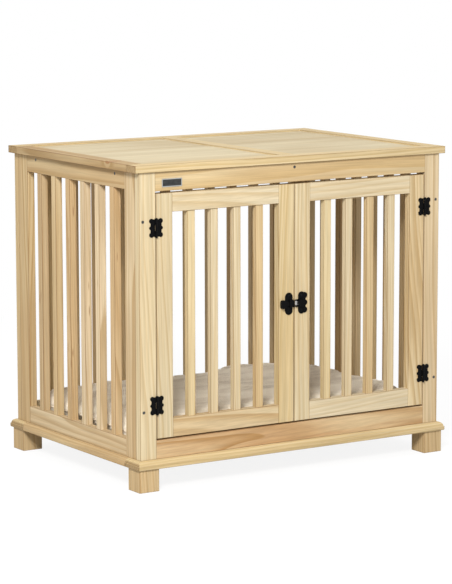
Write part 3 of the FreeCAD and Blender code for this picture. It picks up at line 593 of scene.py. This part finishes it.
def make_metal_skin():
    """Fine speckle and slow blotches for a metal surface."""
    tree, given, result = new_group("metal_skin", [
        ("Place", "Vector", None), ("Grain", "Vector", None), ("Dark", "Color", None),
        ("Light", "Color", None), ("Smooth", "Float", 0.35), ("Rough", "Float", 0.5),
    ], [("Color", "Color"), ("Roughness", "Float"), ("Height", "Float")])
    place = vectors(tree, "MULTIPLY", given["Place"], given["Grain"])
    speckle = added(tree, "ShaderNodeTexNoise", Vector=place, Scale=1.0, Detail=3.0).outputs["Fac"]
    blotch = noisy(tree, given["Place"], blotch_counts, 2.0)
    share = sums(tree, "ADD", sums(tree, "MULTIPLY", speckle, speckle_share),
                 sums(tree, "MULTIPLY", blotch, blotch_share))
    share = ramped(tree, share, 0.3, 0.7)
    feed(tree, result.inputs["Color"], mixed(tree, share, given["Dark"], given["Light"]))
    spread = added(tree, "ShaderNodeMapRange", Value=share)
    feed(tree, spread.inputs["To Min"], given["Smooth"])
    feed(tree, spread.inputs["To Max"], given["Rough"])
    feed(tree, result.inputs["Roughness"], spread.outputs["Result"])
    feed(tree, result.inputs["Height"], speckle)
    return tree


metal_skin = make_metal_skin()
print("metal_skin has", len(metal_skin.nodes), "nodes")

# %% Metal materials
metal_relief = 0.0002
even_grain = (900.0, 900.0, 900.0)
brushed_along_x = (60.0, 1500.0, 1500.0)
black_gloss = 0.05


def metal(name, dark, light, smooth, rough, metallic, grain, bump_strength):
    """A metal material with the shared skin."""
    material, tree, shader = new_material(name)
    sight = tree.nodes.new("ShaderNodeTexCoord")
    skin = placed(tree, metal_skin, Place=sight.outputs["Object"], Grain=grain, Dark=opaque(dark),
                  Light=opaque(light), Smooth=smooth, Rough=rough)
    feed(tree, shader.inputs["Base Color"], skin.outputs["Color"])
    feed(tree, shader.inputs["Roughness"], skin.outputs["Roughness"])
    bump = added(tree, "ShaderNodeBump", Strength=bump_strength, Distance=metal_relief,
                 Height=skin.outputs["Height"])
    feed(tree, shader.inputs["Normal"], bump.outputs["Normal"])
    shader.inputs["Metallic"].default_value = metallic
    return material


satin_black = metal("satin_black", (0.002, 0.002, 0.0022), (0.005, 0.005, 0.0054),
                    0.28, 0.4, 0.0, even_grain, 0.2)
satin_black.node_tree.nodes["Principled BSDF"].inputs["Specular IOR Level"].default_value = black_gloss
bright_steel = metal("bright_steel", (0.55, 0.54, 0.52), (0.72, 0.71, 0.69),
                     0.22, 0.38, 1.0, brushed_along_x, 0.1)
dull_screw = metal("dull_screw", (0.08, 0.077, 0.072), (0.18, 0.175, 0.165),
                   0.38, 0.55, 1.0, even_grain, 0.15)
plate_steel = metal("plate_steel", (0.045, 0.046, 0.045), (0.09, 0.09, 0.088),
                    0.32, 0.48, 1.0, brushed_along_x, 0.12)
black_nodes = [
    "frame_hinge_leaves", "hinge_pins", "frame_hinge_screws", "left_door_hinge_leaves",
    "right_door_hinge_leaves", "left_door_screws", "right_door_screws", "latch_plate",
    "latch_keeper", "latch_bolt",
]
steel_nodes = {"latch_strike": bright_steel, "assembly_screws": dull_screw, "badge_plate": plate_steel}
for name in black_nodes:
    dress(name, satin_black)
for name, steel in steel_nodes.items():
    dress(name, steel)
print("metal nodes:", len(black_nodes) + len(steel_nodes))

# %% [markdown]
# ## Rim of the plate
# The blank plate has a bright rim around its dark face. It lies flush with the face, so it is a matter of
# colour, and the distance from the plate's own outline tells where it goes.

# %% Bright rim of the plate
rim_width = 0.0026
rim_start_share = 0.6
rim_steel = (0.50, 0.50, 0.48, 1.0)


def add_rim(material, name):
    """Makes a plate's outer edge bright, by the distance from its own outline."""
    tree = material.node_tree
    low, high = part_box(name)
    half = (high - low) / 2
    sight = tree.nodes["Texture Coordinate"].outputs["Object"]
    place = vectors(tree, "ABSOLUTE", vectors(tree, "SUBTRACT", sight, (low + high) / 2))
    place = added(tree, "ShaderNodeSeparateXYZ", Vector=place).outputs
    inside = sums(tree, "MINIMUM", sums(tree, "SUBTRACT", half.x, place["X"]),
                  sums(tree, "SUBTRACT", half.z, place["Z"]))
    rim = ramped(tree, inside, rim_start_share * rim_width, rim_width, 1.0, 0.0)
    base = tree.nodes["Principled BSDF"].inputs["Base Color"]
    feed(tree, base, mixed(tree, rim, base.links[0].from_socket, rim_steel))


add_rim(plate_steel, "badge_plate")
print("plate rim", rim_width * 1000, "mm")

# %% [markdown]
# ## Cushion
# The floor cushion is a plush pad sewn from two panels. Its CAD solid is only a rounded block, so a
# slightly smaller copy of it is remeshed, pressed in where a pet has lain, creased on top and gathered
# at its sides. Blender's cloth then blows it up. The seam around its middle is pinned, so the panels
# puff up on both sides of it. The result is held inside the block's own space and takes its place.

# %% Cushion before it is blown up
import bmesh
from mathutils import noise

side_shrink, top_shrink = 0.002, 0.006
merge_distance = 1e-5
voxel = 0.006
seam_share = 0.45
# Each hollow: its place in X and Y, its reach and its depth
cushion_dents = [
    (-0.27, 0.17, 0.10, 0.010), (-0.03, 0.21, 0.10, 0.010), (0.075, 0.22, 0.05, 0.007),
    (0.31, 0.20, 0.075, 0.012), (0.0, -0.04, 0.16, 0.010), (-0.26, -0.13, 0.09, 0.009),
    (0.21, -0.17, 0.07, 0.008),
]
fold_from, fold_to = Vector((0.14, 0.24)), Vector((-0.06, 0.08))
fold_height, fold_reach, fold_edge, fold_run_out = 0.007, 0.06, 0.008, 0.05
crease_height, crease_counts, crease_sharpness = 0.005, Vector((4.0, 8.0, 0.0)), 6
pleat_gap, pleat_depth, pleat_reach = 0.042, 0.008, 0.032
pleat_wander, pleat_level, pleat_side_draw, pleat_front_draw = 9.0, 0.3, 0.7, 1.9
side_fill = 0.005
cushion_low, cushion_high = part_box("cushion")
cushion_middle = (cushion_low + cushion_high) / 2
seam_level = cushion_low.z + seam_share * (cushion_high.z - cushion_low.z)


def plain_mesh(piece):
    """A piece's mesh with its modifiers applied."""
    return bpy.data.meshes.new_from_object(piece.evaluated_get(bpy.context.evaluated_depsgraph_get()))


def cushion_start():
    """A remeshed, slightly smaller copy of the CAD cushion."""
    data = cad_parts["cushion"].data.copy()
    data.materials.clear()
    work = bmesh.new()
    work.from_mesh(data)
    bmesh.ops.remove_doubles(work, verts=work.verts, dist=merge_distance)
    bmesh.ops.recalc_face_normals(work, faces=work.faces)
    shrink = (side_shrink, side_shrink, top_shrink)
    shares = [1 - 2 * s / side for s, side in zip(shrink, cushion_high - cushion_low)]
    for vertex in work.verts:
        vertex.co = Vector([m + (c - m) * s for c, m, s in zip(vertex.co, cushion_middle, shares)])
    work.to_mesh(data)
    work.free()
    piece = new_object("cushion_pad", data)
    remesh = piece.modifiers.new("remesh", "REMESH")
    remesh.mode = "VOXEL"
    remesh.voxel_size = voxel
    shape = plain_mesh(piece)
    piece.modifiers.clear()
    piece.data = shape
    return piece


def fold(spot):
    """The height of the long fold at the back: steep on its left side, running out on its right."""
    way = (fold_to - fold_from).normalized()
    along = (spot.xy - fold_from).dot(way) / (fold_to - fold_from).length
    beside = (spot.xy - fold_from).cross(way)
    crest = (0.5 + 0.5 * tanh(-beside / fold_edge)) * exp(-(min(beside, 0.0) / fold_reach) ** 2)
    return fold_height * crest * exp(-max(abs(along - 0.5) - 0.5, 0.0) ** 2 / fold_run_out)


def press(spot):
    """How far a point of the upper panel sinks into a hollow or rises into a crease."""
    rise = min(max((spot.z - seam_level) / (cushion_high.z - seam_level), 0.0), 1.0)
    sink = sum(depth * exp(-((spot.x - x) ** 2 + (spot.y - y) ** 2) / reach ** 2)
               for x, y, reach, depth in cushion_dents)
    crease = max(1 - crease_sharpness * abs(noise.noise(spot * crease_counts)), 0.0)
    return rise * (crease_height * crease + fold(spot) - sink)


def gather(spot):
    """How far a point of the sides is drawn in by the pleats, or filled out between the corners."""
    off = spot - cushion_middle
    share_x, share_y = off.x / cushion_high.x, off.y / cushion_high.y
    along_y = abs(share_x) > abs(share_y)
    if along_y:
        run, reach, out, draw = off.y, cushion_high.y, share_x, pleat_side_draw
    else:
        run, reach, out, draw = off.x, cushion_high.x, share_y, pleat_front_draw
    near = sin(pi * min(abs(spot.z - seam_level) / pleat_reach, 1.0))
    shift = noise.noise(Vector((run * pleat_wander, pleat_level, draw)))
    pull = pleat_depth * near * (0.5 - 0.5 * cos(2 * pi * (run / pleat_gap + shift)))
    pull -= side_fill * (1 - (run / reach) ** 2) * out ** 4
    if along_y:
        return Vector((copysign(pull, off.x), 0.0, 0.0))
    return Vector((0.0, copysign(pull, off.y), 0.0))


cushion = cushion_start()
for vertex in cushion.data.vertices:
    vertex.co = vertex.co - gather(vertex.co) + Vector((0.0, 0.0, press(vertex.co)))
print("cushion starts with", len(cushion.data.polygons), "faces")

# %% Blow up the cushion
last_frame = 20
move_cap = 0.009
growth = 0.05
seam_half = 0.004
crown = 0.008


def kept_inside(spot):
    """A point held in the CAD cushion's box, with its top levelled off softly."""
    soft = cushion_high.z - crown
    if spot.z > soft:
        spot.z = soft + crown * tanh((spot.z - soft) / crown)
    return Vector([min(max(c, l), h) for c, l, h in zip(spot, cushion_low, cushion_high)])


def blown(piece):
    """Runs the cloth for twenty frames, caps the movement and keeps the result as a plain mesh."""
    before = [vertex.co.copy() for vertex in piece.data.vertices]
    seam = piece.vertex_groups.new(name="seam")
    sewn = [v.index for v in piece.data.vertices if abs(v.co.z - seam_level) < seam_half]
    seam.add(sewn, 1.0, "REPLACE")
    cloth = piece.modifiers.new("cloth", "CLOTH")
    settings = cloth.settings
    settings.quality = 5
    settings.mass = 0.3
    settings.tension_stiffness = 15
    settings.compression_stiffness = 15
    settings.bending_stiffness = 0.3
    settings.use_pressure = True
    settings.uniform_pressure_force = 4
    settings.effector_weights.gravity = 0
    settings.shrink_min = -growth
    settings.vertex_group_mass = "seam"
    cloth.point_cache.frame_start = 1
    cloth.point_cache.frame_end = last_frame
    scene = bpy.context.scene
    for number in range(1, last_frame + 1):
        scene.frame_set(number)
    shape = plain_mesh(piece)
    piece.modifiers.clear()
    piece.vertex_groups.clear()
    scene.frame_set(1)
    for vertex, old in zip(shape.vertices, before):
        step = vertex.co - old
        if step.length > move_cap:
            step *= move_cap / step.length
        vertex.co = kept_inside(old + step)
    piece.data = shape
    return max((v.co - o).length for v, o in zip(shape.vertices, before))


print("cushion swelled by up to", round(blown(cushion) * 1000, 1), "mm")
for polygon in cushion.data.polygons:
    polygon.use_smooth = True

# %% [markdown]
# ## Plush
# The pad's cloth has a short pile that lies light or dark as it was last stroked. A fine bump stands
# for the pile, and sheen gives the soft edge that velvet has. Real hair would cost millions of faces
# for the same look from here.

# %% Plush material
nap_counts = (34.0, 46.0, 40.0)
pile_counts = (700.0, 700.0, 700.0)
stroke_share, nap_share, pile_share = 0.7, 0.15, 0.15
nap_relief = 0.5
plush_bump, plush_relief = 0.6, 0.0015
plush_roughness, plush_gloss = 0.95, 0.15
sheen_roughness, sheen_tint = 0.4, (1.0, 0.90, 0.76, 1.0)


def make_plush(name, dark, light, stroke_counts, sheen):
    """Short pile: broad strokes and patches of nap lie light or dark, and the pile is a fine bump."""
    material, tree, shader = new_material(name)
    place = tree.nodes.new("ShaderNodeTexCoord").outputs["Object"]
    stroke = noisy(tree, place, stroke_counts, 3.0, 0.55)
    nap = noisy(tree, place, nap_counts, 4.0, 0.6)
    pile = noisy(tree, place, pile_counts, 2.0)
    tone = sums(tree, "ADD", sums(tree, "MULTIPLY", stroke, stroke_share),
                sums(tree, "MULTIPLY", nap, nap_share))
    tone = sums(tree, "ADD", tone, sums(tree, "MULTIPLY", pile, pile_share))
    color = mixed(tree, ramped(tree, tone, 0.38, 0.56), opaque(dark), opaque(light))
    feed(tree, shader.inputs["Base Color"], color)
    bump = added(tree, "ShaderNodeBump", Strength=plush_bump, Distance=plush_relief,
                 Height=sums(tree, "ADD", pile, sums(tree, "MULTIPLY", nap, nap_relief)))
    feed(tree, shader.inputs["Normal"], bump.outputs["Normal"])
    shader.inputs["Roughness"].default_value = plush_roughness
    shader.inputs["Specular IOR Level"].default_value = plush_gloss
    shader.inputs["Sheen Weight"].default_value = sheen
    shader.inputs["Sheen Roughness"].default_value = sheen_roughness
    shader.inputs["Sheen Tint"].default_value = sheen_tint
    return material


plush_strokes = (5.0, 15.0, 12.0)
# Painted light: these colours are paler than the cloth's own, to make up for the little light that reaches
# the pad inside the crate
plush = make_plush("plush", (0.54, 0.45, 0.335), (0.90, 0.82, 0.67), plush_strokes, 1.0)
cushion.data.materials.clear()
cushion.data.materials.append(plush)
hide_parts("cushion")
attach(cushion, "crate")
print("cushion has", len(cushion.data.polygons), "faces")

# %% [markdown]
# ## Piping around the cushion
# The two panels meet in a corded seam: a piping cord held down by slanted stitches. Both follow one
# closed line on the cushion's side, so a Geometry Nodes tree makes them: it sweeps the cord along the
# line and sets a small slanted ring of thread on it at every stitch. The line is found by looking at
# the pad from all sides at the seam's height.

# %% Seam line
from mathutils.bvhtree import BVHTree

seam_points = 420
look_from = 1.0


def seam_line(piece):
    """A closed line of edges on the pad's side at the seam's height."""
    corners = [vertex.co for vertex in piece.data.vertices]
    hull = BVHTree.FromPolygons(corners, [polygon.vertices[:] for polygon in piece.data.polygons])
    middle = Vector((cushion_middle.x, cushion_middle.y, seam_level))
    spots = []
    for index in range(seam_points):
        turn = 2 * pi * index / seam_points
        way = Vector((cos(turn), sin(turn), 0.0))
        spots.append(hull.ray_cast(middle + way * look_from, -way)[0])
    data = bpy.data.meshes.new("cushion_seam")
    data.from_pydata(spots, [(i, (i + 1) % seam_points) for i in range(seam_points)], [])
    return new_object("cushion_seam", data)


seam = seam_line(cushion)
print("seam line with", len(seam.data.vertices), "points")

# %% Piping tree
piping_sizes = {"Cord Radius": 0.0022, "Stitch Gap": 0.0085, "Thread Radius": 0.0006,
                "Slant": radians(32)}
cord_sides, loop_sides, thread_sides = 8, 10, 4
thread_sink = 0.5


def make_piping():
    """Sweeps a cord along the incoming line and sets a slanted ring of thread on it at every stitch."""
    tree = bpy.data.node_groups.new("piping", "GeometryNodeTree")
    tree.interface.new_socket("Geometry", in_out="INPUT", socket_type="NodeSocketGeometry")
    keys = {}
    for name, kind in [*((size, "Float") for size in piping_sizes), ("Material", "Material")]:
        socket = tree.interface.new_socket(name, in_out="INPUT", socket_type="NodeSocket" + kind)
        keys[name] = socket.identifier
    tree.interface.new_socket("Geometry", in_out="OUTPUT", socket_type="NodeSocketGeometry")
    given = tree.nodes.new("NodeGroupInput").outputs
    line = added(tree, "GeometryNodeMeshToCurve", Mesh=given["Geometry"]).outputs["Curve"]
    round_cord = added(tree, "GeometryNodeCurvePrimitiveCircle", Resolution=cord_sides,
                       Radius=given["Cord Radius"])
    cord = added(tree, "GeometryNodeCurveToMesh", Curve=line, Profile_Curve=round_cord.outputs["Curve"])
    reach = sums(tree, "MULTIPLY", given["Thread Radius"], thread_sink)
    reach = sums(tree, "ADD", given["Cord Radius"], reach)
    loop = added(tree, "GeometryNodeCurvePrimitiveCircle", Resolution=loop_sides, Radius=reach)
    thread = added(tree, "GeometryNodeCurvePrimitiveCircle", Resolution=thread_sides,
                   Radius=given["Thread Radius"])
    stitch = added(tree, "GeometryNodeCurveToMesh", Curve=loop.outputs["Curve"],
                   Profile_Curve=thread.outputs["Curve"])
    marks = added(tree, "GeometryNodeResampleCurve", {"mode": "LENGTH"}, Curve=line,
                  Length=given["Stitch Gap"])
    along = tree.nodes.new("GeometryNodeInputTangent").outputs["Tangent"]
    facing = added(tree, "FunctionNodeAlignRotationToVector", {"axis": "Z"}, Vector=along)
    slant = added(tree, "ShaderNodeCombineXYZ", X=given["Slant"])
    lean = added(tree, "FunctionNodeEulerToRotation", Euler=slant.outputs["Vector"])
    leaning = added(tree, "FunctionNodeRotateRotation", {"rotation_space": "LOCAL"},
                    Rotation=facing.outputs["Rotation"], Rotate_By=lean.outputs["Rotation"])
    stitches = added(tree, "GeometryNodeInstanceOnPoints", Points=marks.outputs["Curve"],
                     Instance=stitch.outputs["Mesh"], Rotation=leaning.outputs["Rotation"])
    both = tree.nodes.new("GeometryNodeJoinGeometry")
    for part in (cord.outputs["Mesh"], stitches.outputs["Instances"]):
        tree.links.new(part, both.inputs["Geometry"])
    plain = added(tree, "GeometryNodeRealizeInstances", Geometry=both.outputs["Geometry"])
    done = added(tree, "GeometryNodeSetMaterial", Geometry=plain.outputs["Geometry"],
                 Material=given["Material"])
    tree.links.new(done.outputs["Geometry"], tree.nodes.new("NodeGroupOutput").inputs["Geometry"])
    return tree, keys


piping_tree, piping_keys = make_piping()
print("piping tree has", len(piping_tree.nodes), "nodes")

# %% Piping piece
piping_strokes = (60.0, 60.0, 300.0)
piping_look = make_plush("piping", (0.56, 0.46, 0.34), (0.86, 0.76, 0.60), piping_strokes, 0.4)
grow = seam.modifiers.new("piping", "NODES")
grow.node_group = piping_tree
for name, value in {**piping_sizes, "Material": piping_look}.items():
    grow[piping_keys[name]] = value
piped = plain_mesh(seam)
seam.modifiers.clear()
seam.data = piped
piped.materials.clear()
piped.materials.append(piping_look)
for polygon in piped.polygons:
    polygon.material_index = 0
    polygon.use_smooth = True
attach(seam, "crate")
print("piping has", len(piped.polygons), "faces")

# %% [markdown]
# ## Floor and light
# The crate stands on a white floor in soft light. The camera sees the world as white, while the light
# that the world gives is set by itself; the floor is plain and keeps the soft shadow under the crate.

# %% Floor
floor_reach = 9.0
floor_bounce, floor_shade, floor_lift = 0.62, 0.13, 0.88
white_from, white_beyond = 0.9, 2.0
floor_data = bpy.data.meshes.new("studio_floor")
floor_corners = [(x * floor_reach, y * floor_reach, 0) for x, y in ((-1, -1), (1, -1), (1, 1), (-1, 1))]
floor_data.from_pydata(floor_corners, [], [(0, 1, 2, 3)])
studio_floor = new_object("studio_floor", floor_data)


def seen_directly(tree):
    """1 for camera, glossy and transmission rays, 0 for the rays that carry soft light."""
    path = tree.nodes.new("ShaderNodeLightPath")
    seen = sums(tree, "MAXIMUM", path.outputs["Is Camera Ray"], path.outputs["Is Glossy Ray"])
    return sums(tree, "MAXIMUM", seen, path.outputs["Is Transmission Ray"])


def make_floor_white():
    """A pale floor that is white to the camera where no shadow falls."""
    material, tree, shader = new_material("floor_white")
    tree.nodes.remove(shader)
    plain = added(tree, "ShaderNodeBsdfDiffuse", Color=opaque([floor_bounce] * 3))
    shaded = added(tree, "ShaderNodeBsdfDiffuse", Color=opaque([floor_shade] * 3))
    lift = added(tree, "ShaderNodeEmission", Color=(1.0, 1.0, 1.0, 1.0), Strength=floor_lift)
    lifted = tree.nodes.new("ShaderNodeAddShader")
    feed(tree, lifted.inputs[0], shaded.outputs[0])
    feed(tree, lifted.inputs[1], lift.outputs[0])
    white = added(tree, "ShaderNodeEmission", Color=(1.0, 1.0, 1.0, 1.0), Strength=1.0)
    place = tree.nodes.new("ShaderNodeTexCoord").outputs["Object"]
    far = ramped(tree, vectors(tree, "LENGTH", place, output="Value"), white_from, white_beyond)
    near_or_far = added(tree, "ShaderNodeMixShader", Fac=far)
    feed(tree, near_or_far.inputs[1], lifted.outputs[0])
    feed(tree, near_or_far.inputs[2], white.outputs[0])
    chosen = added(tree, "ShaderNodeMixShader", Fac=seen_directly(tree))
    feed(tree, chosen.inputs[1], plain.outputs[0])
    feed(tree, chosen.inputs[2], near_or_far.outputs[0])
    feed(tree, tree.nodes["Material Output"].inputs["Surface"], chosen.outputs[0])
    return material


floor_data.materials.append(make_floor_white())
print("floor", 2 * floor_reach, "m square")

# %% World and lamps
world_light = 0.56
world = bpy.data.worlds.new("studio")
world.use_nodes = True
world_tree = world.node_tree
backdrop = world_tree.nodes["Background"]
backdrop.inputs["Color"].default_value = (1.0, 1.0, 1.0, 1.0)
strength = added(world_tree, "ShaderNodeMapRange", Value=seen_directly(world_tree))
strength.inputs["To Min"].default_value = world_light
strength.inputs["To Max"].default_value = 1.0
feed(world_tree, backdrop.inputs["Strength"], strength.outputs["Result"])
bpy.context.scene.world = world

# Each lamp: its name, its place, its width in metres and its power in watts
lamp_table = [
    ("key_lamp", (-2.52, -2.97, 2.7), 1.1, 202.0),
    ("top_lamp", (0.4, 0.2, 4.2), 3.0, 44.0),
]
lamp_target = Vector((0.0, 0.0, 0.35))
for name, place, size, power in lamp_table:
    lamp_data = bpy.data.lights.new(name, "AREA")
    lamp_data.shape = "DISK"
    lamp_data.size = size
    lamp_data.energy = power
    lamp = new_object(name, lamp_data)
    lamp.location = place
    lamp.rotation_euler = (lamp_target - Vector(place)).to_track_quat("-Z", "Y").to_euler()
bpy.context.scene.view_settings.view_transform = "Standard"
print("lamps:", len(lamp_table))
